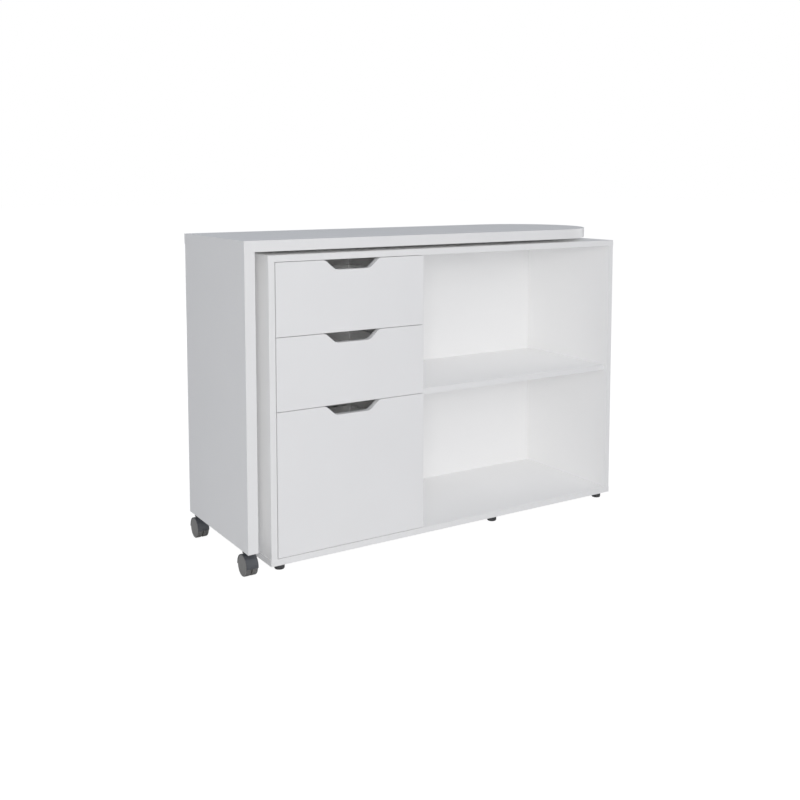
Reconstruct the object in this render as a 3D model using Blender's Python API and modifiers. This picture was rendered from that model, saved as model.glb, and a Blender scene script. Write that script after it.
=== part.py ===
"""Swivelling desk that parks over a low cabinet with three drawers and an open shelf.

The cabinet stands on six glides. The desk is a board with one round end and a side panel
under its square end: it turns about a swivel on the cabinet's top, and its side panel rolls
on two hooded twin-wheel casters. Metres, +Z up, the drawers face -Y, and the origin is on
the floor, under the middle of the whole object.
"""
import math

import bmesh
import bpy
from mathutils import Vector

# Boards and the spaces between them
CABINET_BOARD = 0.015
DESK_BOARD = 0.025
BACK_BOARD = 0.003
BOARD_LIP = 0.001
TOUCH = 0.0003

# Cabinet
CABINET_WIDTH = 1.058
CABINET_DEPTH = 0.350
CABINET_HEIGHT = 0.720
DIVIDER_SETBACK = 0.0015
SHELF_SETBACK = 0.012
PIN_RADIUS = 0.0025
PIN_LENGTH = 0.015
PIN_INSET = 0.050

# Glides under the cabinet, with the radius and height of each corner from the top down
FOOT_HEIGHT = 0.015
FOOT_PROFILE = ((0.0, 0.0147), (0.0120, 0.0147), (0.0125, 0.0142), (0.0125, 0.0040),
                (0.0121, 0.0018), (0.0112, 0.0005), (0.0098, 0.0), (0.0, 0.0))
FOOT_SIDE_INSET = 0.029
FOOT_FRONT_INSET = 0.020
FOOT_MIDDLE = 0.652

# Drawers
FRONT_WIDTH = 0.402
FRONT_HEIGHTS = (0.171, 0.171, 0.342)
FRONT_SIDE_GAP = 0.0025
FRONT_JOINT = 0.0015
BOX_SIDE_HEIGHTS = (0.110, 0.110, 0.240)
BOX_LENGTH = 0.300
BOX_BOARD = 0.012
BOX_LIFT = 0.018
GRIP_TOP_WIDTH = 0.147
GRIP_BOTTOM_WIDTH = 0.093
GRIP_DEPTH = 0.0235
GRIP_TOP_CORNER = 0.018
GRIP_BOTTOM_CORNER = 0.022

# Drawer runners
RUNNER_SPACE = 0.0127
RUNNER_SHEET = 0.0012
RUNNER_REACH = 0.009
RUNNER_LENGTH = 0.296
RUNNER_HEIGHT = 0.035
SLIDE_HEIGHT = 0.026
RUNNER_RISE = 0.040

# Desk and its swivel
DESK_DEPTH = 0.364
DESK_GAP = 0.010
NEST_GAP = 0.035
PIVOT_FROM_PANEL = 0.920
PANEL_CLEARANCE = 0.0575
SWIVEL_RADIUS = 0.050
SWIVEL_STEP = 0.010
SWIVEL_SHEET = 0.003
SPIGOT_RADIUS = 0.015
SPIGOT_CHAMFER = 0.001

# Casters under the desk's side panel, with the steps that each full turn is made of
CASTER_INSET = 0.033
CASTER_TRAIL = 0.005
CASTER_ASIDE = 0.0015
CASTER_HALF_WIDTH = 0.0150
WHEEL_RADIUS = 0.0250
HOOD_INNER_RADIUS = 0.0255
HOOD_OUTER_RADIUS = 0.0267
WEB_HALF = 0.0015
WEB_TAB_RADIUS = 0.008
AXLE_RADIUS = 0.003
STEM_RADIUS = 0.004
STEM_CHAMFER = 0.001
STEM_PLAY = 0.001
NECK_RADIUS = 0.008
NECK_SINK = 0.006
NECK_BORE = 0.010
SOCKET_FLANGE = 0.0048
SOCKET_WIDTH = 0.020
SOCKET_CORNER = 0.0085
SLEEVE_RADIUS = 0.005
SLEEVE_LENGTH = 0.034
SLEEVE_END = 0.003
WHEEL_GAP = 0.0004
WHEEL_FACE = 0.004
WHEEL_HOLLOW = 0.005
RIM_THICKNESS = 0.0045
HUB_RADIUS = 0.008
ROUND_STEPS = 36

# How far a cutter runs past the face that it opens
OVERCUT = 0.005

# Turns that lay a piece's own Z axis along X or Y, and stand an outline up to face the side
FACE_X = (0.0, math.pi / 2, 0.0)
FACE_MINUS_X = (0.0, -math.pi / 2, 0.0)
FACE_FRONT = (math.pi / 2, 0.0, 0.0)
FACE_SIDE = (math.pi / 2, 0.0, math.pi / 2)

# Places worked out from the sizes above
CASTER_PROUD = CASTER_HALF_WIDTH - DESK_BOARD / 2 + CASTER_ASIDE
OVERALL_LENGTH = CASTER_PROUD + DESK_BOARD + NEST_GAP + CABINET_WIDTH
PANEL_X = CASTER_PROUD - OVERALL_LENGTH / 2
CABINET_X = PANEL_X + DESK_BOARD + NEST_GAP
SIDE_X = CABINET_X + BOARD_LIP
FAR_SIDE_X = CABINET_X + CABINET_WIDTH - BOARD_LIP
FRONT_Y = -CABINET_DEPTH / 2
BACK_Y = CABINET_DEPTH / 2 - BACK_BOARD
FLOOR_Z = FOOT_HEIGHT + CABINET_BOARD
CEILING_Z = FOOT_HEIGHT + CABINET_HEIGHT - CABINET_BOARD
CABINET_TOP_Z = FOOT_HEIGHT + CABINET_HEIGHT
FRONT_X = SIDE_X + CABINET_BOARD + FRONT_SIDE_GAP
DIVIDER_X = FRONT_X + FRONT_WIDTH - CABINET_BOARD
DIVIDER_Y = FRONT_Y + CABINET_BOARD + DIVIDER_SETBACK
SHELF_Z = (FLOOR_Z + CEILING_Z - CABINET_BOARD) / 2
DESK_UNDER_Z = CABINET_TOP_Z + DESK_GAP
PIVOT_X = PANEL_X + PIVOT_FROM_PANEL
PIN_Z = SHELF_Z - TOUCH - PIN_RADIUS

MATERIALS = {
    "white_board": ((0.88, 0.88, 0.885), 0.45, 0.0),
    "back_board": ((0.88, 0.88, 0.885), 0.55, 0.0),
    "drawer_board": ((0.88, 0.88, 0.885), 0.50, 0.0),
    "zinc_steel": ((0.62, 0.63, 0.65), 0.35, 1.0),
    "black_plastic": ((0.025, 0.025, 0.027), 0.50, 0.0),
    "grey_plastic": ((0.075, 0.078, 0.085), 0.42, 0.0),
    "wheel_plastic": ((0.14, 0.14, 0.135), 0.45, 0.0),
}


def clear_scene():
    """Start from an empty scene."""
    for obj in list(bpy.data.objects):
        bpy.data.objects.remove(obj, do_unlink=True)


def add_collection(name):
    """Make a collection in the scene."""
    collection = bpy.data.collections.new(name)
    bpy.context.scene.collection.children.link(collection)
    return collection


def material(name):
    """Give a named material its colour, roughness and metallic value once."""
    known = bpy.data.materials.get(name)
    if known:
        return known
    colour, roughness, metallic = MATERIALS[name]
    made = bpy.data.materials.new(name)
    made.use_nodes = True
    shader = made.node_tree.nodes["Principled BSDF"]
    shader.inputs["Base Color"].default_value = (*colour, 1.0)
    shader.inputs["Roughness"].default_value = roughness
    shader.inputs["Metallic"].default_value = metallic
    return made


def world_place(empty):
    """Add up the locations of an empty and its parents, none of which is turned."""
    place = Vector()
    while empty:
        place += empty.location
        empty = empty.parent
    return place


def add_pivot(name, place, parent=None):
    """Stand an empty on a joint, to carry the pieces that move with it."""
    empty = bpy.data.objects.new(name, None)
    empty.empty_display_size = 0.03
    PARTS.objects.link(empty)
    empty.parent = parent
    empty.location = Vector(place) - world_place(parent)
    return empty


def add_piece(name, mesh, slot, place, parent=None, turn=(0.0, 0.0, 0.0)):
    """Put a mesh in the scene as one named piece, at a place in the world."""
    mesh.name = name
    mesh.materials.clear()
    mesh.materials.append(material(slot))
    piece = bpy.data.objects.new(name, mesh)
    PARTS.objects.link(piece)
    piece.parent = parent
    piece.location = Vector(place) - world_place(parent)
    piece.rotation_euler = turn
    return piece


def box_mesh(size):
    """Mesh of a box about its own centre."""
    shape = bmesh.new()
    bmesh.ops.create_cube(shape, size=1.0)
    bmesh.ops.scale(shape, vec=size, verts=shape.verts)
    mesh = bpy.data.meshes.new("box")
    shape.to_mesh(mesh)
    shape.free()
    return mesh


def rod_mesh(radius, length):
    """Mesh of a cylinder along Z about its own centre."""
    shape = bmesh.new()
    bmesh.ops.create_cone(shape, cap_ends=True, segments=ROUND_STEPS, radius1=radius,
                          radius2=radius, depth=length)
    mesh = bpy.data.meshes.new("rod")
    shape.to_mesh(mesh)
    shape.free()
    return mesh


def plate_mesh(outline, thickness):
    """Mesh of a flat outline in XY, extruded to a thickness about the XY plane."""
    curve = bpy.data.curves.new("outline", "CURVE")
    curve.dimensions = "2D"
    curve.fill_mode = "BOTH"
    curve.extrude = thickness / 2
    spline = curve.splines.new("POLY")
    spline.points.add(len(outline) - 1)
    for point, (across, along) in zip(spline.points, outline):
        point.co = (across, along, 0.0, 1.0)
    spline.use_cyclic_u = True
    guide = bpy.data.objects.new("outline", curve)
    bpy.context.scene.collection.objects.link(guide)
    evaluated = guide.evaluated_get(bpy.context.evaluated_depsgraph_get())
    mesh = bpy.data.meshes.new_from_object(evaluated)
    bpy.data.objects.remove(guide, do_unlink=True)
    shape = bmesh.new()
    shape.from_mesh(mesh)
    bmesh.ops.remove_doubles(shape, verts=shape.verts, dist=0.00001)
    bmesh.ops.recalc_face_normals(shape, faces=shape.faces)
    shape.to_mesh(mesh)
    shape.free()
    return mesh


def arc(centre, radius, start, end, steps):
    """Points along an arc, from one angle to another, in degrees."""
    points = []
    for step in range(steps + 1):
        angle = math.radians(start + (end - start) * step / steps)
        points.append((centre[0] + radius * math.cos(angle), centre[1] + radius * math.sin(angle)))
    return points


def rounded_outline(corners, steps=6):
    """Outline through (x, y, radius) corners, with an arc in place of each sharp corner."""
    outline = []
    for index, (x, y, radius) in enumerate(corners):
        corner = Vector((x, y))
        if radius == 0:
            outline.append((x, y))
            continue
        back = (Vector(corners[index - 1][:2]) - corner).normalized()
        ahead = (Vector(corners[(index + 1) % len(corners)][:2]) - corner).normalized()
        half = back.angle(ahead) / 2
        centre = corner + (back + ahead).normalized() * radius / math.sin(half)
        first = corner + back * radius / math.tan(half) - centre
        last = corner + ahead * radius / math.tan(half) - centre
        sweep = first.angle_signed(last)
        for step in range(steps + 1):
            turn = sweep * step / steps
            spoke = Vector((first.x * math.cos(turn) + first.y * math.sin(turn),
                            first.y * math.cos(turn) - first.x * math.sin(turn)))
            outline.append(tuple(centre + spoke))
    return outline


def add_board(name, low, high, slot="white_board", parent=None):
    """Flat board between two opposite corners, given in the world."""
    low, high = Vector(low), Vector(high)
    return add_piece(name, box_mesh(high - low), slot, (low + high) / 2, parent)


def add_turned(name, profile, slot, place, parent=None, turn=(0.0, 0.0, 0.0)):
    """Turned piece: a (radius, height) profile, swept about its own Z axis by a Screw."""
    mesh = bpy.data.meshes.new(name)
    points = [(radius, 0.0, height) for radius, height in profile]
    edges = [(index, index + 1) for index in range(len(points) - 1)]
    if profile[0][0] > 0:
        edges.append((len(points) - 1, 0))
    mesh.from_pydata(points, edges, [])
    piece = add_piece(name, mesh, slot, place, parent, turn)
    screw = piece.modifiers.new("turn", "SCREW")
    screw.axis = "Z"
    screw.steps = ROUND_STEPS
    screw.render_steps = ROUND_STEPS
    screw.use_merge_vertices = True
    screw.merge_threshold = 0.00001
    screw.use_smooth_shade = False
    return piece


def add_tool(name, mesh, place, turn=(0.0, 0.0, 0.0)):
    """Hidden solid that a Boolean cuts away or joins on."""
    tool = bpy.data.objects.new(name, mesh)
    CUTTERS.objects.link(tool)
    tool.location = place
    tool.rotation_euler = turn
    tool.hide_render = True
    tool.display_type = "WIRE"
    return tool


def combine(piece, tool, operation):
    """Join a tool to a piece, or cut it away."""
    boolean = piece.modifiers.new(tool.name, "BOOLEAN")
    boolean.operation = operation
    boolean.solver = "EXACT"
    boolean.object = tool


def make_shelf_pins(divider, far_side):
    """Four steel pins under the shelf, each half sunk in a hole in the board beside it."""
    for side, face_x, board in (("left", DIVIDER_X + CABINET_BOARD, divider),
                                ("right", FAR_SIDE_X - CABINET_BOARD, far_side)):
        for end, y in (("front", FRONT_Y + PIN_INSET), ("rear", BACK_Y - PIN_INSET)):
            place = (face_x, y, PIN_Z)
            hole = rod_mesh(PIN_RADIUS + TOUCH, PIN_LENGTH + 2 * TOUCH)
            combine(board, add_tool(f"hole_{end}_{side}", hole, place, FACE_X), "DIFFERENCE")
            add_piece(f"shelf_pin_{end}_{side}", rod_mesh(PIN_RADIUS, PIN_LENGTH), "zinc_steel",
                      place, turn=FACE_X)


def make_cabinet_boards():
    """Case of the cabinet: the top and bottom run over the ends of the sides."""
    low_z = FLOOR_Z + TOUCH
    high_z = CEILING_Z - TOUCH
    for name, z in (("cabinet_bottom", FOOT_HEIGHT), ("cabinet_top", CEILING_Z)):
        add_board(name, (CABINET_X, FRONT_Y, z),
                  (CABINET_X + CABINET_WIDTH, BACK_Y, z + CABINET_BOARD))
    add_board("cabinet_left_side", (SIDE_X, FRONT_Y, low_z),
              (SIDE_X + CABINET_BOARD, BACK_Y, high_z))
    far_side = add_board("cabinet_right_side", (FAR_SIDE_X - CABINET_BOARD, FRONT_Y, low_z),
                         (FAR_SIDE_X, BACK_Y, high_z))
    divider = add_board("cabinet_divider", (DIVIDER_X, DIVIDER_Y, low_z),
                        (DIVIDER_X + CABINET_BOARD, BACK_Y, high_z))
    add_board("cabinet_shelf", (DIVIDER_X + CABINET_BOARD + TOUCH, FRONT_Y + SHELF_SETBACK, SHELF_Z),
              (FAR_SIDE_X - CABINET_BOARD - TOUCH, BACK_Y, SHELF_Z + CABINET_BOARD))
    add_board("cabinet_back", (SIDE_X, BACK_Y + TOUCH, FOOT_HEIGHT + BOARD_LIP),
              (FAR_SIDE_X, BACK_Y + BACK_BOARD, CABINET_TOP_Z - BOARD_LIP), "back_board")
    make_shelf_pins(divider, far_side)


def make_feet():
    """Six round glides that narrow towards the floor."""
    columns = (("left", SIDE_X + FOOT_SIDE_INSET), ("middle", SIDE_X + FOOT_MIDDLE),
               ("right", FAR_SIDE_X - FOOT_SIDE_INSET))
    rows = (("front", FRONT_Y + FOOT_FRONT_INSET), ("rear", -FRONT_Y - FOOT_FRONT_INSET))
    for row, y in rows:
        for column, x in columns:
            add_turned(f"foot_{row}_{column}", FOOT_PROFILE, "black_plastic", (x, y, 0.0))


def channel(height, depth, way):
    """Outline of a sheet channel that opens to +X where way is 1, or to -X where it is -1."""
    half = height / 2
    inner = half - RUNNER_SHEET
    points = ((0.0, -half), (depth, -half), (depth, -inner), (RUNNER_SHEET, -inner),
              (RUNNER_SHEET, inner), (depth, inner), (depth, half), (0.0, half))
    return [(way * across, along) for across, along in points]


def front_outline(height):
    """Outline of a drawer front, with the finger grip cut in its top edge."""
    half = FRONT_WIDTH / 2
    top = height / 2
    outer = GRIP_TOP_WIDTH / 2
    inner = GRIP_BOTTOM_WIDTH / 2
    return rounded_outline([
        (-half, -top, 0), (half, -top, 0), (half, top, 0),
        (outer, top, GRIP_TOP_CORNER), (inner, top - GRIP_DEPTH, GRIP_BOTTOM_CORNER),
        (-inner, top - GRIP_DEPTH, GRIP_BOTTOM_CORNER), (-outer, top, GRIP_TOP_CORNER),
        (-half, top, 0)])


def make_runner_pair(number, side, wall_x, way, z, parent):
    """Fixed channel on the case, and the slide that nests in it and moves with the drawer."""
    y = FRONT_Y + CABINET_BOARD + TOUCH + BOX_LENGTH / 2
    add_piece(f"runner_{number}_{side}_fixed",
              plate_mesh(channel(RUNNER_HEIGHT, RUNNER_REACH, way), RUNNER_LENGTH), "zinc_steel",
              (wall_x + way * TOUCH, y, z), turn=FACE_FRONT)
    add_piece(f"runner_{number}_{side}_slide",
              plate_mesh(channel(SLIDE_HEIGHT, RUNNER_REACH, -way), RUNNER_LENGTH), "zinc_steel",
              (wall_x + way * (RUNNER_SPACE - TOUCH), y, z), parent, FACE_FRONT)


def make_drawer(number, z, height, side_height):
    """Drawer: a front with a grip, and a box of four boards that hangs between its runners."""
    left_wall = SIDE_X + CABINET_BOARD
    left = left_wall + RUNNER_SPACE
    right = DIVIDER_X - RUNNER_SPACE
    front_back_y = FRONT_Y + CABINET_BOARD
    near = front_back_y + TOUCH
    far = near + BOX_LENGTH
    low = z + BOX_LIFT
    floor = low + BACK_BOARD + TOUCH
    top = low + side_height
    middle_x = FRONT_X + FRONT_WIDTH / 2
    pivot = add_pivot(f"drawer_{number}_slide", (middle_x, front_back_y, low))
    name = f"drawer_{number}"
    add_piece(f"{name}_front", plate_mesh(front_outline(height), CABINET_BOARD), "white_board",
              (middle_x, FRONT_Y + CABINET_BOARD / 2, z + height / 2), pivot, FACE_FRONT)
    add_board(f"{name}_left_side", (left, near, floor), (left + BOX_BOARD, far, top),
              "drawer_board", pivot)
    add_board(f"{name}_right_side", (right - BOX_BOARD, near, floor), (right, far, top),
              "drawer_board", pivot)
    add_board(f"{name}_back", (left + BOX_BOARD + TOUCH, far - BOX_BOARD, floor),
              (right - BOX_BOARD - TOUCH, far, top), "drawer_board", pivot)
    add_board(f"{name}_bottom", (left, near, low), (right, far, low + BACK_BOARD),
              "drawer_board", pivot)
    make_runner_pair(number, "left", left_wall, 1, low + RUNNER_RISE, pivot)
    make_runner_pair(number, "right", DIVIDER_X, -1, low + RUNNER_RISE, pivot)


def make_drawers():
    """Stack the drawers from the top down, with the same joint above and below each front."""
    z = CEILING_Z
    for number, (height, side_height) in enumerate(zip(FRONT_HEIGHTS, BOX_SIDE_HEIGHTS), start=1):
        z -= FRONT_JOINT + height
        make_drawer(number, z, height, side_height)


def make_swivel(parent):
    """Base plate with a spigot, screwed to the cabinet, and the plate under the desk that it fits."""
    base = CABINET_TOP_Z + TOUCH
    bearing = base + 2 * SWIVEL_SHEET
    under = DESK_UNDER_Z - TOUCH
    tip = under - SPIGOT_CHAMFER
    step = SWIVEL_RADIUS - SWIVEL_STEP
    profile = [(0.0, tip), (SPIGOT_RADIUS - SPIGOT_CHAMFER, tip),
               (SPIGOT_RADIUS, tip - SPIGOT_CHAMFER), (SPIGOT_RADIUS, bearing), (step, bearing),
               (step, base + SWIVEL_SHEET), (SWIVEL_RADIUS, base + SWIVEL_SHEET),
               (SWIVEL_RADIUS, base), (0.0, base)]
    add_turned("swivel_base", profile, "zinc_steel", (PIVOT_X, 0.0, 0.0))
    ring = [(SPIGOT_RADIUS + TOUCH, under), (SWIVEL_RADIUS, under), (SWIVEL_RADIUS, bearing + TOUCH),
            (SPIGOT_RADIUS + TOUCH, bearing + TOUCH)]
    add_turned("swivel_plate", ring, "zinc_steel", (PIVOT_X, 0.0, 0.0), parent)


def make_desk(parent):
    """Desk board with a full round end about the swivel, and the panel under its square end."""
    half = DESK_DEPTH / 2 + BOARD_LIP
    end = PANEL_X - BOARD_LIP - PIVOT_X
    outline = [(end, half), (end, -half)] + arc((0.0, 0.0), half, -90, 90, 2 * ROUND_STEPS)
    add_piece("desk_top", plate_mesh(outline, DESK_BOARD), "white_board",
              (PIVOT_X, 0.0, DESK_UNDER_Z + DESK_BOARD / 2), parent)
    return add_board("desk_side_panel", (PANEL_X, -DESK_DEPTH / 2, PANEL_CLEARANCE),
                     (PANEL_X + DESK_BOARD, DESK_DEPTH / 2, DESK_UNDER_Z - TOUCH), parent=parent)


def make_socket(name, place, panel, parent):
    """Flanged sleeve that the caster's stem turns in, sunk in the foot of the side panel."""
    x, y = place
    flange_z = PANEL_CLEARANCE - TOUCH - SOCKET_FLANGE / 2
    sleeve_top = PANEL_CLEARANCE + SLEEVE_LENGTH
    half = SOCKET_WIDTH / 2
    outline = rounded_outline([(-half, -half, SOCKET_CORNER), (half, -half, SOCKET_CORNER),
                               (half, half, SOCKET_CORNER), (-half, half, SOCKET_CORNER)])
    socket = add_piece(f"{name}_socket", plate_mesh(outline, SOCKET_FLANGE), "black_plastic",
                       (x, y, flange_z), parent)
    sleeve_length = sleeve_top - flange_z
    combine(socket, add_tool(f"{name}_sleeve", rod_mesh(SLEEVE_RADIUS, sleeve_length),
                             (x, y, flange_z + sleeve_length / 2)), "UNION")
    bore_top = sleeve_top - SLEEVE_END
    bore_low = flange_z - SOCKET_FLANGE
    combine(socket, add_tool(f"{name}_bore", rod_mesh(STEM_RADIUS + TOUCH, bore_top - bore_low),
                             (x, y, (bore_top + bore_low) / 2)), "DIFFERENCE")
    hole_top = sleeve_top + TOUCH
    hole_low = PANEL_CLEARANCE - OVERCUT
    combine(panel, add_tool(f"{name}_hole", rod_mesh(SLEEVE_RADIUS + TOUCH, hole_top - hole_low),
                            (x, y, (hole_top + hole_low) / 2)), "DIFFERENCE")


def make_hood(name, place, stem_y, parent):
    """Housing over both wheels: a half-round shell, a web between the wheels and a neck."""
    x, axle_y = place
    tab = arc((0.0, 0.0), WEB_TAB_RADIUS, 195, 345, ROUND_STEPS // 3)
    drop = tab[0][1]
    outline = [(HOOD_OUTER_RADIUS, drop)]
    outline += arc((0.0, 0.0), HOOD_OUTER_RADIUS, 0, 180, ROUND_STEPS)
    outline += [(-HOOD_OUTER_RADIUS, drop)] + tab
    hood = add_piece(f"{name}_hood", plate_mesh(outline, 2 * CASTER_HALF_WIDTH), "grey_plastic",
                     (x, axle_y, WHEEL_RADIUS), parent, FACE_SIDE)
    neck_top = PANEL_CLEARANCE - 2 * TOUCH - SOCKET_FLANGE
    neck_low = WHEEL_RADIUS + HOOD_INNER_RADIUS - NECK_SINK
    combine(hood, add_tool(f"{name}_neck", rod_mesh(NECK_RADIUS, neck_top - neck_low),
                           (x, stem_y, (neck_top + neck_low) / 2)), "UNION")
    pocket = CASTER_HALF_WIDTH
    for side, way in (("left", -1), ("right", 1)):
        tool = add_tool(f"{name}_pocket_{side}", rod_mesh(HOOD_INNER_RADIUS, pocket),
                        (x + way * (WEB_HALF + pocket / 2), axle_y, WHEEL_RADIUS), FACE_X)
        combine(hood, tool, "DIFFERENCE")
    combine(hood, add_tool(f"{name}_axle_bore", rod_mesh(AXLE_RADIUS + TOUCH, 4 * WEB_HALF),
                           (x, axle_y, WHEEL_RADIUS), FACE_X), "DIFFERENCE")
    stem_low = WHEEL_RADIUS + HOOD_INNER_RADIUS
    combine(hood, add_tool(f"{name}_stem_bore", rod_mesh(STEM_RADIUS + TOUCH, NECK_BORE),
                           (x, stem_y, stem_low + NECK_BORE / 2)), "DIFFERENCE")
    stem_low += TOUCH
    stem_top = PANEL_CLEARANCE + SLEEVE_LENGTH - SLEEVE_END - STEM_PLAY
    stem = [(0.0, stem_top), (STEM_RADIUS - STEM_CHAMFER, stem_top),
            (STEM_RADIUS, stem_top - STEM_CHAMFER), (STEM_RADIUS, stem_low), (0.0, stem_low)]
    add_turned(f"{name}_stem", stem, "zinc_steel", (x, stem_y, 0.0), parent)


def make_wheel(name, way, place, parent):
    """Wheel with a closed outer face, a hollow inner face and a blind bore for the axle."""
    gap = WEB_HALF + WHEEL_GAP
    width = CASTER_HALF_WIDTH - gap
    bore = width - WHEEL_FACE
    tread = WHEEL_RADIUS
    rim = tread - RIM_THICKNESS
    profile = [(0.0, width), (tread - 0.0024, width), (tread - 0.0006, width - 0.0006),
               (tread, width - 0.0020), (tread, 0.0006), (tread - 0.0006, 0.0),
               (rim + 0.0005, 0.0), (rim - 0.0005, WHEEL_HOLLOW),
               (HUB_RADIUS + 0.0005, WHEEL_HOLLOW), (HUB_RADIUS - 0.0005, 0.0),
               (AXLE_RADIUS + TOUCH, 0.0), (AXLE_RADIUS + TOUCH, bore), (0.0, bore)]
    turn = FACE_X if way > 0 else FACE_MINUS_X
    add_turned(name, profile, "wheel_plastic", (place[0] + way * gap, place[1], place[2]), parent, turn)


def make_caster(end, stem_y, panel, desk):
    """Twin-wheel caster: it swivels on its stem, and each wheel turns on the same axle."""
    name = f"caster_{end}"
    x = PANEL_X + DESK_BOARD / 2 - CASTER_ASIDE
    axle = (x, stem_y - CASTER_TRAIL, WHEEL_RADIUS)
    make_socket(name, (x, stem_y), panel, desk)
    swivel = add_pivot(f"{name}_swivel", (x, stem_y, PANEL_CLEARANCE), desk)
    make_hood(name, axle[:2], stem_y, swivel)
    axle_length = 2 * (CASTER_HALF_WIDTH - WHEEL_FACE - TOUCH)
    add_piece(f"{name}_axle", rod_mesh(AXLE_RADIUS, axle_length), "zinc_steel", axle, swivel, FACE_X)
    for side, way in (("left", -1), ("right", 1)):
        wheel = add_pivot(f"{name}_{side}_spin", axle, swivel)
        make_wheel(f"{name}_wheel_{side}", way, axle, wheel)


def main():
    """Build the whole object."""
    make_cabinet_boards()
    make_feet()
    make_drawers()
    desk = add_pivot("desk_swivel", (PIVOT_X, 0.0, DESK_UNDER_Z))
    make_swivel(desk)
    panel = make_desk(desk)
    stem_y = DESK_DEPTH / 2 - CASTER_INSET
    make_caster("front", -stem_y, panel, desk)
    make_caster("rear", stem_y, panel, desk)


clear_scene()
PARTS = add_collection("swivel_desk_cabinet")
CUTTERS = add_collection("cutters")
main()
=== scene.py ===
"""Looks of the swivel desk and its drawer cabinet: materials, fine detail, camera and studio."""
import math

import bpy
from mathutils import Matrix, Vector


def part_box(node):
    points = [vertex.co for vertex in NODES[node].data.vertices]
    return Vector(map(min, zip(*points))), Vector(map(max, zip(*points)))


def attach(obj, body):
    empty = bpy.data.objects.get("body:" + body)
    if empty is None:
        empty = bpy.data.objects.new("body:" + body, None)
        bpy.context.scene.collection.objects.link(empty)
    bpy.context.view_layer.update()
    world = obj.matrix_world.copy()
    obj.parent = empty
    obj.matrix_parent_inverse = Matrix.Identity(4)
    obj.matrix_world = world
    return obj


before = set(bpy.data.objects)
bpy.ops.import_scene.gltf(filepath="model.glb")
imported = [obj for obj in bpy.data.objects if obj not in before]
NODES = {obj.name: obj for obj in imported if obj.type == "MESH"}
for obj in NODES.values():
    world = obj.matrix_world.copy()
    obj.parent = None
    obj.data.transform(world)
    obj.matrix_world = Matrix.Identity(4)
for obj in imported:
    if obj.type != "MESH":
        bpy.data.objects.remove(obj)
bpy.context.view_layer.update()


# Camera: a little above the worktop, to the left of the drawers, with a lens shift that
# keeps the uprights almost upright.
CAMERA_PLACE = (-1.4582, -2.2420, 0.9087)
CAMERA_TURN = 32.408
CAMERA_TILT = 5.09
CAMERA_LENS = 45.525
CAMERA_SHIFT = -0.165
SENSOR_WIDTH = 36.0

VIEW_GAMMA = 1.2
MAX_BOUNCES = 12
DIFFUSE_BOUNCES = 10

SIDES = {"x": (1.0, 0.0, 0.0), "y": (0.0, 1.0, 0.0), "z": (0.0, 0.0, 1.0)}


# ---------------------------------------------------------------------------------------
# Node trees
# ---------------------------------------------------------------------------------------

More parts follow.
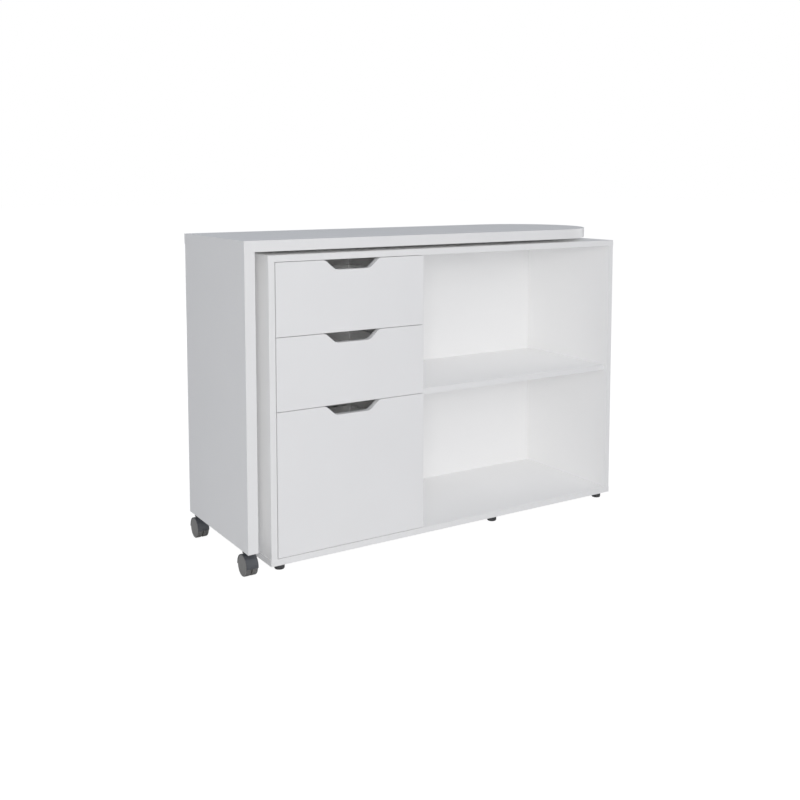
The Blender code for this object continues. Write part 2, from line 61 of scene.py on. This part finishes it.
class Tree:
    """A material's node tree, with short calls for the nodes that the materials share."""

    def __init__(self, name):
        self.material = bpy.data.materials.new(name)
        self.material.use_nodes = True
        self.nodes = self.material.node_tree.nodes
        self.links = self.material.node_tree.links
        self.shader = self.nodes["Principled BSDF"]
        self.place = self.add("ShaderNodeTexCoord")

    def add(self, kind, **settings):
        """New node with some of its settings."""
        node = self.nodes.new(kind)
        for name, value in settings.items():
            setattr(node, name, value)
        return node

    def feed(self, socket, value):
        """Link an output to a socket, or set the socket to a plain value."""
        if isinstance(value, bpy.types.NodeSocket):
            self.links.new(value, socket)
        else:
            socket.default_value = value

    def stretch(self, scale):
        """Object coordinates, scaled."""
        node = self.add("ShaderNodeMapping")
        self.feed(node.inputs["Vector"], self.place.outputs["Object"])
        node.inputs["Scale"].default_value = scale
        return node.outputs["Vector"]

    def noise(self, scale, detail=2.0, roughness=0.5, vector=None):
        """Noise from 0 to 1 with about scale bumps in a metre."""
        node = self.add("ShaderNodeTexNoise")
        self.feed(node.inputs["Vector"], vector or self.place.outputs["Object"])
        node.inputs["Scale"].default_value = scale
        node.inputs["Detail"].default_value = detail
        node.inputs["Roughness"].default_value = roughness
        return node.outputs["Fac"]

    def cells(self, scale, vector=None):
        """Random grey for each cell of a Voronoi pattern."""
        node = self.add("ShaderNodeTexVoronoi")
        self.feed(node.inputs["Vector"], vector or self.place.outputs["Object"])
        node.inputs["Scale"].default_value = scale
        grey = self.add("ShaderNodeSeparateColor")
        self.feed(grey.inputs["Color"], node.outputs["Color"])
        return grey.outputs["Red"]

    def math(self, operation, first, second=0.0):
        """Result of an operation on two values."""
        node = self.add("ShaderNodeMath", operation=operation)
        self.feed(node.inputs[0], first)
        self.feed(node.inputs[1], second)
        return node.outputs["Value"]

    def span(self, value, low, high, to_low=0.0, to_high=1.0, smooth=False):
        """Carry a value from one range to another, held at both ends."""
        node = self.add("ShaderNodeMapRange")
        node.interpolation_type = "SMOOTHSTEP" if smooth else "LINEAR"
        self.feed(node.inputs["Value"], value)
        for name, number in (("From Min", low), ("From Max", high),
                             ("To Min", to_low), ("To Max", to_high)):
            node.inputs[name].default_value = number
        return node.outputs["Result"]

    def blend(self, factor, first, second, how="MIX"):
        """Mix two colours."""
        node = self.add("ShaderNodeMix", data_type="RGBA", blend_type=how)
        self.feed(node.inputs["Factor"], factor)
        self.feed(node.inputs[6], first)
        self.feed(node.inputs[7], second)
        return node.outputs[2]

    def bump(self, height, depth):
        """Bump of a given depth in metres."""
        node = self.add("ShaderNodeBump")
        self.feed(node.inputs["Height"], height)
        node.inputs["Distance"].default_value = depth
        return node.outputs["Normal"]

    def across(self, axis):
        """How squarely a face looks along an axis: 1 on a board's faces, 0 on its edges."""
        node = self.add("ShaderNodeVectorMath", operation="DOT_PRODUCT")
        self.feed(node.inputs[0], self.place.outputs["Normal"])
        node.inputs[1].default_value = SIDES[axis]
        return self.math("ABSOLUTE", node.outputs["Value"])

    def finish(self, colour, roughness, normal, metallic=0.0):
        """Feed the shader, and give the finished material."""
        self.feed(self.shader.inputs["Base Color"], colour)
        self.feed(self.shader.inputs["Roughness"], roughness)
        self.feed(self.shader.inputs["Normal"], normal)
        self.shader.inputs["Metallic"].default_value = metallic
        return self.material


def shade(colour, factor):
    """A colour made darker or lighter, with its alpha."""
    return (colour[0] * factor, colour[1] * factor, colour[2] * factor, 1.0)


# Range that noise mostly keeps to
NOISE_RANGE = (0.3, 0.7)

# How squarely a surface faces the board's thin way where its edge begins, and where the seam
# beside the edge band begins and ends
EDGE_FADE = (0.90, 0.97)
SEAM_START = (0.90, 0.95)
SEAM_END = (0.965, 0.995)

# Board faces: bumps in a metre of the cloudy tone and of the smudges, and the tones of the cloud,
# the pores, the front edges (painted shade: edges facing front and back are made darker) and the
# seam where the edge band meets the face
CLOUD_SCALE = 5.0
SMUDGE_SCALE = 28.0
CLOUD_TONES = (0.985, 1.008)
PORE_TONE = 0.985
FRONT_EDGE_SHADE_TONE = 0.872
SEAM_TONE = 0.72
SEAM_SHARE = 0.12
EDGE_SHINE = 0.08
EDGE_SMOOTHNESS = 0.8


def board_material(name, axis, colour, pore_scale, pore_depth, gloss):
    """Melamine-faced board: a faint pearl in the face, and a smoother band along its edges."""
    tree = Tree(name)
    face = tree.across(axis)
    edge = tree.span(face, *EDGE_FADE, 1.0, 0.0, smooth=True)
    seam = tree.math("MULTIPLY", tree.span(face, *SEAM_START, smooth=True),
                     tree.span(face, *SEAM_END, 1.0, 0.0, smooth=True))
    cloud = tree.noise(CLOUD_SCALE, detail=3.0)
    grain = tree.noise(pore_scale, detail=3.0, roughness=0.6)
    base = tree.blend(tree.span(cloud, *NOISE_RANGE),
                      *(shade(colour, tone) for tone in CLOUD_TONES))
    base = tree.blend(tree.span(grain, *NOISE_RANGE, 0.0, 0.4), base, shade(colour, PORE_TONE))
    # Edges that face front and back are painted darker: painted shade for the strong light from
    # the front
    shaded_front_edge = tree.math("MULTIPLY", edge, tree.across("y"))
    base = tree.blend(shaded_front_edge, base, shade(colour, FRONT_EDGE_SHADE_TONE))
    base = tree.blend(tree.math("MULTIPLY", seam, SEAM_SHARE), base, shade(colour, SEAM_TONE))
    smudge = tree.noise(SMUDGE_SCALE, detail=4.0, roughness=0.6)
    rough = tree.span(smudge, *NOISE_RANGE, gloss - 0.03, gloss + 0.04)
    rough = tree.math("SUBTRACT", rough, tree.math("MULTIPLY", edge, EDGE_SHINE))
    rest_of_pores = tree.math("SUBTRACT", 1.0, tree.math("MULTIPLY", edge, EDGE_SMOOTHNESS))
    height = tree.math("MULTIPLY", grain, rest_of_pores)
    return tree.finish(base, rough, tree.bump(height, pore_depth))


STREAK_SCALE = 1500.0
STREAK_STRETCH = 0.03
STREAK_DEPTH = 0.00001
SPANGLE_SCALE = 320.0
SPANGLE_TONES = (1.05, 0.86)
HAZE_SCALE = 60.0
HAZE_GREY = (0.70, 0.72, 0.76, 1.0)


def steel_material(name, colour, streak_axis):
    """Zinc-plated sheet: a faint spangle, and streaks along the way it was rolled."""
    tree = Tree(name)
    long_way = [1.0, 1.0, 1.0]
    long_way["xyz".index(streak_axis)] = STREAK_STRETCH
    streaks = tree.noise(STREAK_SCALE, detail=3.0, vector=tree.stretch(long_way))
    spangle = tree.cells(SPANGLE_SCALE)
    haze = tree.noise(HAZE_SCALE, detail=3.0)
    base = tree.blend(tree.span(spangle, 0.0, 1.0, 0.0, 0.5),
                      *(shade(colour, tone) for tone in SPANGLE_TONES))
    base = tree.blend(tree.span(haze, 0.35, 0.7, 0.0, 0.35), base, HAZE_GREY)
    rough = tree.math("ADD", tree.span(streaks, *NOISE_RANGE, 0.26, 0.38),
                      tree.math("MULTIPLY", spangle, 0.05))
    return tree.finish(base, rough, tree.bump(streaks, STREAK_DEPTH), metallic=1.0)


GRAIN_SCALE = 2400.0
GRAIN_DEPTH = 0.00003
GRAIN_TONE = (0.85, 0.85, 0.85, 1.0)
RUB_SCALE = 55.0
RUB_TONE = (1.12, 1.12, 1.12, 1.0)


def plastic_material(name, colour, roughness):
    """Moulded plastic of one colour."""
    return finish_plastic(Tree(name), shade(colour, 1.0), roughness)


def finish_plastic(tree, tone, roughness):
    """Moulded plastic over a tone: the mould's fine grain, and a few paler rubbed patches."""
    grain = tree.noise(GRAIN_SCALE, detail=2.0)
    rub = tree.noise(RUB_SCALE, detail=4.0, roughness=0.65)
    base = tree.blend(tree.span(rub, 0.5, 0.75), tone, RUB_TONE, "MULTIPLY")
    base = tree.blend(tree.span(grain, 0.35, 0.65, 0.0, 0.25), base, GRAIN_TONE, "MULTIPLY")
    rough = tree.span(rub, *NOISE_RANGE, roughness - 0.05, roughness + 0.06)
    return tree.finish(base, rough, tree.bump(grain, GRAIN_DEPTH))


HOOD_GREY = (0.046, 0.049, 0.056)
NECK_BLACK = (0.012, 0.012, 0.013)
NECK_REACH = 0.0086
DISC_GREY = (0.185, 0.179, 0.170)
# The tread's grey is darker than the disc's: painted shade
TREAD_SHADE_GREY = (0.092, 0.090, 0.087)
BLACK_TONE = (0.025, 0.025, 0.027)
HOOD_ROUGHNESS = 0.40
WHEEL_ROUGHNESS = 0.45
BLACK_ROUGHNESS = 0.50


def hood_material():
    """Grey caster housing with a black neck round the stem."""
    tree = Tree("hood_plastic")
    parts = tree.add("ShaderNodeSeparateXYZ")
    tree.feed(parts.inputs[0], tree.place.outputs["Object"])
    low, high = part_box("caster_rear_stem")
    middle = (low + high) / 2.0
    aside = tree.math("SUBTRACT", parts.outputs["X"], middle.x)
    ahead = tree.math("SUBTRACT", tree.math("ABSOLUTE", parts.outputs["Y"]), middle.y)
    reach = tree.math("SQRT", tree.math("ADD", tree.math("MULTIPLY", aside, aside),
                                        tree.math("MULTIPLY", ahead, ahead)))
    near = tree.math("LESS_THAN", reach, NECK_REACH)
    upright = tree.math("LESS_THAN", tree.across("z"), 0.5)
    neck = tree.math("MULTIPLY", near, upright)
    tone = tree.blend(neck, shade(HOOD_GREY, 1.0), shade(NECK_BLACK, 1.0))
    return finish_plastic(tree, tone, HOOD_ROUGHNESS)


def wheel_material():
    """Wheel with a paler face, and a tread painted darker as painted shade."""
    tree = Tree("wheel_plastic")
    face = tree.span(tree.across("x"), 0.5, 0.8, smooth=True)
    tone = tree.blend(face, shade(TREAD_SHADE_GREY, 1.0), shade(DISC_GREY, 1.0))
    return finish_plastic(tree, tone, WHEEL_ROUGHNESS)


# ---------------------------------------------------------------------------------------
# Edges
# ---------------------------------------------------------------------------------------

SMOOTH_ANGLE = 40.0
BEVEL_ANGLE = 35.0
BEVEL_SEGMENTS = 3
FLAT_ANGLE = 0.2
WELD_REACH = 0.00001
NORMAL_WEIGHT = 60


def smooth_by_angle():
    """Modifier group that shades smoothly, except over edges sharper than a given angle."""
    group = bpy.data.node_groups.new("smooth_by_angle", "GeometryNodeTree")
    group.interface.new_socket("Geometry", in_out="INPUT", socket_type="NodeSocketGeometry")
    group.interface.new_socket("Geometry", in_out="OUTPUT", socket_type="NodeSocketGeometry")
    start = group.nodes.new("NodeGroupInput")
    end = group.nodes.new("NodeGroupOutput")
    faces = group.nodes.new("GeometryNodeSetShadeSmooth")
    faces.domain = "FACE"
    edges = group.nodes.new("GeometryNodeSetShadeSmooth")
    edges.domain = "EDGE"
    angle = group.nodes.new("GeometryNodeInputMeshEdgeAngle")
    flat = group.nodes.new("FunctionNodeCompare")
    flat.data_type = "FLOAT"
    flat.operation = "LESS_THAN"
    flat.inputs["B"].default_value = math.radians(SMOOTH_ANGLE)
    link = group.links.new
    link(start.outputs[0], faces.inputs["Geometry"])
    link(faces.outputs[0], edges.inputs["Geometry"])
    link(angle.outputs["Unsigned Angle"], flat.inputs["A"])
    link(flat.outputs["Result"], edges.inputs["Shade Smooth"])
    link(edges.outputs[0], end.inputs[0])
    return group


SMOOTH = smooth_by_angle()


def soften(node, width, dissolve=True, swell=0.0):
    """Round a node's sharp edges by a width in metres, with smooth shading.

    Swelling carries each corner outwards by the given distance, so that the boards of one
    carcass close the hairline between them."""
    weld = node.modifiers.new("weld", "WELD")
    weld.merge_threshold = WELD_REACH
    if dissolve:
        flat = node.modifiers.new("flat", "DECIMATE")
        flat.decimate_type = "DISSOLVE"
        flat.angle_limit = math.radians(FLAT_ANGLE)
    if swell:
        tight = node.modifiers.new("tight", "DISPLACE")
        tight.strength = swell
        tight.mid_level = 0.0
    if width:
        bevel = node.modifiers.new("edge", "BEVEL")
        bevel.width = width
        bevel.segments = BEVEL_SEGMENTS
        bevel.limit_method = "ANGLE"
        bevel.angle_limit = math.radians(BEVEL_ANGLE)
        bevel.use_clamp_overlap = True
        bevel.miter_outer = "MITER_ARC"
    smooth = node.modifiers.new("smooth", "NODES")
    smooth.node_group = SMOOTH
    weighted = node.modifiers.new("normals", "WEIGHTED_NORMAL")
    weighted.keep_sharp = True
    weighted.weight = NORMAL_WEIGHT


def dress(node, material):
    """Give a node one material."""
    slots = node.material_slots
    if not slots:
        node.data.materials.append(material)
    for slot in slots:
        slot.material = material


def thin_axis(name):
    """The axis that a board is thinnest along."""
    low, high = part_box(name)
    size = high - low
    return "xyz"[min(range(3), key=lambda index: size[index])]


WHITE = (0.951, 0.950, 0.947)
# Drawer fronts: the same white board painted darker, as painted shade for the strong light from
# the front
SHADED_FRONT_WHITE = (0.829, 0.828, 0.829)
ZINC_GREY = (0.62, 0.63, 0.65)
FIXING_GREY = (0.66, 0.67, 0.69)

# Bumps in a metre and depth of the pores in each kind of board, and how rough it is
FINE_PORES = {"pore_scale": 1300.0, "pore_depth": 0.00002, "gloss": 0.42}
DRAWER_PORES = {"pore_scale": 800.0, "pore_depth": 0.00004, "gloss": 0.50}
BACK_PORES = {"pore_scale": 500.0, "pore_depth": 0.00004, "gloss": 0.52}

BOARDS = {axis: board_material(f"white_board_{axis}", axis, WHITE, **FINE_PORES)
          for axis in "xyz"}
DRAWER_BOARDS = {axis: board_material(f"drawer_board_{axis}", axis, WHITE, **DRAWER_PORES)
                 for axis in "xyz"}
# Darker copy of the white board for the drawer fronts: painted shade
SHADED_FRONT_BOARD = board_material("drawer_front_painted_shade", "y", SHADED_FRONT_WHITE, **FINE_PORES)
BACK = board_material("back_board", "y", WHITE, **BACK_PORES)
STEEL_SHEET = steel_material("zinc_sheet", ZINC_GREY, "y")
STEEL_ROUND = steel_material("zinc_turned", ZINC_GREY, "z")
FIXING = steel_material("zinc_fixing", FIXING_GREY, "z")
BLACK = plastic_material("black_plastic", BLACK_TONE, BLACK_ROUGHNESS)
HOOD = hood_material()
WHEEL = wheel_material()

JOINT_SWELL = 0.00022
FRONT_EDGE = 0.0004
BOARD_EDGE = 0.0002
SHEET_EDGE = 0.0003
TURNED_EDGE = 0.0002
HOOD_EDGE = 0.0004
PLASTIC_EDGE = 0.0002


def dress_nodes():
    """Material and edges for every CAD node."""
    for name, node in NODES.items():
        if name.startswith("drawer_") and name.endswith("_front"):
            dress(node, SHADED_FRONT_BOARD)
            soften(node, FRONT_EDGE)
        elif name.startswith("drawer_"):
            dress(node, DRAWER_BOARDS[thin_axis(name)])
            soften(node, BOARD_EDGE, swell=JOINT_SWELL)
        elif name == "cabinet_back":
            dress(node, BACK)
            soften(node, BOARD_EDGE, swell=JOINT_SWELL)
        elif name.startswith(("desk_", "cabinet_")):
            dress(node, BOARDS[thin_axis(name)])
            soften(node, BOARD_EDGE, swell=JOINT_SWELL)
        elif name.startswith("runner_"):
            dress(node, STEEL_SHEET)
            soften(node, SHEET_EDGE)
        elif name.startswith("swivel_") or name.endswith(("_stem", "_axle")) or "pin" in name:
            dress(node, STEEL_ROUND)
            soften(node, TURNED_EDGE)
        elif name.endswith("_hood"):
            dress(node, HOOD)
            soften(node, HOOD_EDGE, dissolve=False)
        elif "_wheel_" in name:
            dress(node, WHEEL)
            soften(node, 0.0)
        else:
            dress(node, BLACK)
            soften(node, PLASTIC_EDGE)


# ---------------------------------------------------------------------------------------
# Fixings
# ---------------------------------------------------------------------------------------

HEAD_STEPS = 32
CROSS_HALF_ANGLE = 17.0
CROSS_REACH = 0.55

# Rings of a head from its middle out: radius and height, each as a share of the head's own
PAN_RINGS = ((0.18, 1.0), (0.50, 0.97), (0.56, 0.96), (0.80, 0.82), (0.95, 0.50), (1.0, 0.20),
             (1.0, 0.0))
NAIL_RINGS = ((0.30, 1.0), (0.60, 0.90), (0.85, 0.66), (0.97, 0.35), (1.0, 0.0))


def head_points(rings, radius, height, recess):
    """Points of a round head on the plane z = 0, with a cross sunk into it to the given depth."""
    points = []
    for share, rise in rings:
        for step in range(HEAD_STEPS):
            angle = 360.0 * step / HEAD_STEPS
            from_arm = abs((angle + 45.0) % 90.0 - 45.0)
            sunk = recess if from_arm < CROSS_HALF_ANGLE and share < CROSS_REACH else 0.0
            turn = math.radians(angle)
            reach = share * radius
            points.append(Vector((reach * math.cos(turn), reach * math.sin(turn),
                                  rise * height - sunk)))
    points.append(Vector((0.0, 0.0, height - recess)))
    return points


def head_faces(ring_count, start):
    """Faces of one head whose points begin at an index."""
    middle = start + ring_count * HEAD_STEPS
    faces = []
    for step in range(HEAD_STEPS):
        after = (step + 1) % HEAD_STEPS
        faces.append((middle, start + step, start + after))
        for ring in range(ring_count - 1):
            near = start + ring * HEAD_STEPS
            far = near + HEAD_STEPS
            faces.append((near + step, far + step, far + after, near + after))
    outer = start + (ring_count - 1) * HEAD_STEPS
    faces.append(tuple(outer + step for step in reversed(range(HEAD_STEPS))))
    return faces


def add_heads(name, places, way, rings, size, recess, body):
    """One piece with a head at each place, all facing one way: screws, or nails with no cross."""
    turn = Vector(way).to_track_quat("Z", "Y")
    points = []
    faces = []
    for place in places:
        faces += head_faces(len(rings), len(points))
        points += [Vector(place) + turn @ point for point in head_points(rings, *size, recess)]
    mesh = bpy.data.meshes.new(name)
    mesh.from_pydata(points, [], faces)
    mesh.materials.append(FIXING)
    piece = bpy.data.objects.new(name, mesh)
    bpy.context.scene.collection.objects.link(piece)
    smooth = piece.modifiers.new("smooth", "NODES")
    smooth.node_group = SMOOTH
    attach(piece, body)


# Radius and height of a screw's head, and the places of the two screws behind a channel's
# front end
SCREW_SIZE = (0.0032, 0.0014)
SCREW_RECESS = 0.0008
SCREW_INSETS = (0.037, 0.261)
CHANNEL_SHEET = 0.0012
NAIL_SIZE = (0.0019, 0.0005)
NAIL_SPACING = 0.13
NAIL_INSET = 0.007


def add_runner_screws():
    """Two pan-head screws through the web of each runner channel."""
    for number in (1, 2, 3):
        for side, outward in (("left", -1.0), ("right", 1.0)):
            for part, way, body in (("fixed", -outward, "cabinet"),
                                    ("slide", outward, f"drawer_{number}")):
                name = f"runner_{number}_{side}_{part}"
                low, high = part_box(name)
                x = low.x + CHANNEL_SHEET if way > 0.0 else high.x - CHANNEL_SHEET
                z = (low.z + high.z) / 2.0
                places = [(x, low.y + inset, z) for inset in SCREW_INSETS]
                add_heads(f"{name}_screws", places, (way, 0.0, 0.0), PAN_RINGS, SCREW_SIZE,
                          SCREW_RECESS, body)


def spread(start, end):
    """Evenly spaced places from one end to the other, about a nail's spacing apart."""
    count = max(2, round((end - start) / NAIL_SPACING) + 1)
    return [start + (end - start) * step / (count - 1) for step in range(count)]


def add_back_nails():
    """Small nails that hold the back to the carcass, round its edges and up the divider."""
    low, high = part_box("cabinet_back")
    divider_low, divider_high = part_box("cabinet_divider")
    left, right = low.x + NAIL_INSET, high.x - NAIL_INSET
    bottom, top = low.z + NAIL_INSET, high.z - NAIL_INSET
    middle = (divider_low.x + divider_high.x) / 2.0
    spots = {(x, z) for z in (bottom, top) for x in spread(left, right)}
    spots |= {(x, z) for x in (left, middle, right) for z in spread(bottom, top)}
    face = high.y + JOINT_SWELL / 2.0
    places = [(x, face, z) for x, z in sorted(spots)]
    add_heads("cabinet_back_nails", places, (0.0, 1.0, 0.0), NAIL_RINGS, NAIL_SIZE, 0.0,
              "cabinet")


# ---------------------------------------------------------------------------------------
# Studio
# ---------------------------------------------------------------------------------------

def make_camera():
    """Camera that looks at the drawers and the open shelves."""
    data = bpy.data.cameras.new("camera")
    data.lens = CAMERA_LENS
    data.sensor_width = SENSOR_WIDTH
    data.shift_y = CAMERA_SHIFT
    camera = bpy.data.objects.new("camera", data)
    camera.location = CAMERA_PLACE
    camera.rotation_euler = (math.radians(90.0 - CAMERA_TILT), 0.0, math.radians(-CAMERA_TURN))
    bpy.context.scene.collection.objects.link(camera)
    bpy.context.scene.camera = camera


# Floor: half its width, its tone for the light it throws back, and the tone and the glow
# that the camera sees, which leave only faint shadows
FLOOR_REACH = 30.0
FLOOR_TONE = (0.80, 0.80, 0.80, 1.0)
FLOOR_SHADOW = (0.22, 0.22, 0.22, 1.0)
FLOOR_GLOW = 0.94


def make_floor():
    """Plain pale floor."""
    mesh = bpy.data.meshes.new("floor")
    corners = [(across * FLOOR_REACH, along * FLOOR_REACH, 0.0)
               for across, along in ((-1, -1), (1, -1), (1, 1), (-1, 1))]
    mesh.from_pydata(corners, [], [(0, 1, 2, 3)])
    floor = bpy.data.objects.new("floor", mesh)
    bpy.context.scene.collection.objects.link(floor)
    material = bpy.data.materials.new("floor")
    material.use_nodes = True
    nodes = material.node_tree.nodes
    link = material.node_tree.links.new
    nodes.clear()
    out = nodes.new("ShaderNodeOutputMaterial")
    mix = nodes.new("ShaderNodeMixShader")
    path = nodes.new("ShaderNodeLightPath")
    plain = nodes.new("ShaderNodeBsdfDiffuse")
    plain.inputs["Color"].default_value = FLOOR_TONE
    seen = nodes.new("ShaderNodeAddShader")
    shadow = nodes.new("ShaderNodeBsdfDiffuse")
    shadow.inputs["Color"].default_value = FLOOR_SHADOW
    glow = nodes.new("ShaderNodeEmission")
    glow.inputs["Strength"].default_value = FLOOR_GLOW
    link(path.outputs["Is Camera Ray"], mix.inputs["Fac"])
    link(plain.outputs[0], mix.inputs[1])
    link(shadow.outputs[0], seen.inputs[0])
    link(glow.outputs[0], seen.inputs[1])
    link(seen.outputs[0], mix.inputs[2])
    link(mix.outputs[0], out.inputs["Surface"])
    mesh.materials.append(material)


# Light of the surroundings above the floor: the way it comes from, how sharply it fades
# aside, its strength and its colour
SKY = (
    ((0.0, -1.0, 0.0), 2.0, 0.966, (1.0, 0.99, 1.01, 1.0)),
    ((0.0, 1.0, 0.0), 2.0, 0.34, (0.90, 0.985, 1.11, 1.0)),
    ((-1.0, 0.0, 0.0), 2.0, 0.266, (1.0, 0.995, 1.01, 1.0)),
    ((1.0, 0.0, 0.0), 2.0, 0.259, (1.0, 1.0, 1.0, 1.0)),
    ((0.0, 0.0, 1.0), 1.0, 0.188, (0.91, 0.975, 1.10, 1.0)),
)


def make_world():
    """Plain surroundings, white to the camera, that throw most of their light from the front."""
    world = bpy.data.worlds.new("studio")
    bpy.context.scene.world = world
    world.use_nodes = True
    nodes = world.node_tree.nodes
    link = world.node_tree.links.new
    nodes.clear()

    def work_out(kind, operation, first, second):
        node = nodes.new(kind)
        node.operation = operation
        for socket, value in zip(node.inputs, (first, second)):
            if isinstance(value, bpy.types.NodeSocket):
                link(value, socket)
            else:
                socket.default_value = value
        return node.outputs[1] if operation == "DOT_PRODUCT" else node.outputs[0]

    def background(colour, strength):
        node = nodes.new("ShaderNodeBackground")
        node.inputs["Color"].default_value = colour
        if isinstance(strength, bpy.types.NodeSocket):
            link(strength, node.inputs["Strength"])
        else:
            node.inputs["Strength"].default_value = strength
        return node.outputs[0]

    def both(operation_node, first, second):
        node = nodes.new(operation_node)
        link(first, node.inputs[-2])
        link(second, node.inputs[-1])
        return node

    way = nodes.new("ShaderNodeTexCoord").outputs["Generated"]
    height = work_out("ShaderNodeVectorMath", "DOT_PRODUCT", way, SIDES["z"])
    above = work_out("ShaderNodeMath", "GREATER_THAN", height, 0.0)
    light = background((0.0, 0.0, 0.0, 1.0), 0.0)
    for side, power, strength, colour in SKY:
        facing = work_out("ShaderNodeVectorMath", "DOT_PRODUCT", way, side)
        facing = work_out("ShaderNodeMath", "MAXIMUM", facing, 0.0)
        lobe = work_out("ShaderNodeMath", "POWER", facing, power)
        lobe = work_out("ShaderNodeMath", "MULTIPLY", lobe, strength)
        lobe = work_out("ShaderNodeMath", "MULTIPLY", lobe, above)
        light = both("ShaderNodeAddShader", light, background(colour, lobe)).outputs[0]
    seen = both("ShaderNodeMixShader", light, background((1.0, 1.0, 1.0, 1.0), 1.0))
    link(nodes.new("ShaderNodeLightPath").outputs["Is Camera Ray"], seen.inputs["Fac"])
    link(seen.outputs[0], nodes.new("ShaderNodeOutputWorld").inputs["Surface"])


def add_softbox(name, place, aim, size, power, colour):
    """Rectangular light at a place, turned to an aim."""
    data = bpy.data.lights.new(name, "AREA")
    data.shape = "RECTANGLE"
    data.size, data.size_y = size
    data.energy = power
    data.color = colour
    light = bpy.data.objects.new(name, data)
    light.location = place
    light.rotation_euler = (Vector(aim) - Vector(place)).to_track_quat("-Z", "Y").to_euler()
    bpy.context.scene.collection.objects.link(light)


AIM = Vector((0.0, 0.0, 0.4))
LIGHT_REACH = 4.5

# Softboxes: turn from the front towards the left, height angle, size, power and colour
SOFTBOXES = {
    "key_light": (32.0, 11.0, (1.0, 0.6), 30.5, (1.0, 0.995, 0.985)),
    "low_light": (32.0, 5.0, (1.0, 0.4), 2.8, (1.0, 0.99, 0.97)),
    "upper_light": (32.0, 18.0, (1.0, 0.73), 14.1, (1.0, 0.995, 0.985)),
    "high_light": (0.0, 35.0, (2.0, 1.0), 4.3, (0.96, 0.985, 1.0)),
    "top_light": (0.0, 55.0, (2.0, 1.0), 12.4, (0.93, 0.98, 1.06)),
    "back_light": (180.0, 8.0, (2.0, 0.8), 22.0, (1.0, 1.0, 1.0)),
    "right_light": (-90.0, 8.0, (2.0, 0.8), 18.0, (1.0, 1.0, 1.0)),
}


def make_lights():
    """Softboxes round the desk, all as far from it."""
    for name, (turn, rise, size, power, colour) in SOFTBOXES.items():
        turn, rise = math.radians(turn), math.radians(rise)
        way = Vector((-math.sin(turn) * math.cos(rise), -math.cos(turn) * math.cos(rise),
                      math.sin(rise)))
        add_softbox(name, AIM + LIGHT_REACH * way, AIM, size, power, colour)


def set_view():
    """Plain tones, and enough bounces of light for white boards that face one another."""
    scene = bpy.context.scene
    scene.view_settings.view_transform = "Standard"
    scene.view_settings.gamma = VIEW_GAMMA
    scene.cycles.max_bounces = MAX_BOUNCES
    scene.cycles.diffuse_bounces = DIFFUSE_BOUNCES


make_camera()
make_floor()
make_world()
make_lights()
dress_nodes()
add_runner_screws()
add_back_nails()
set_view()
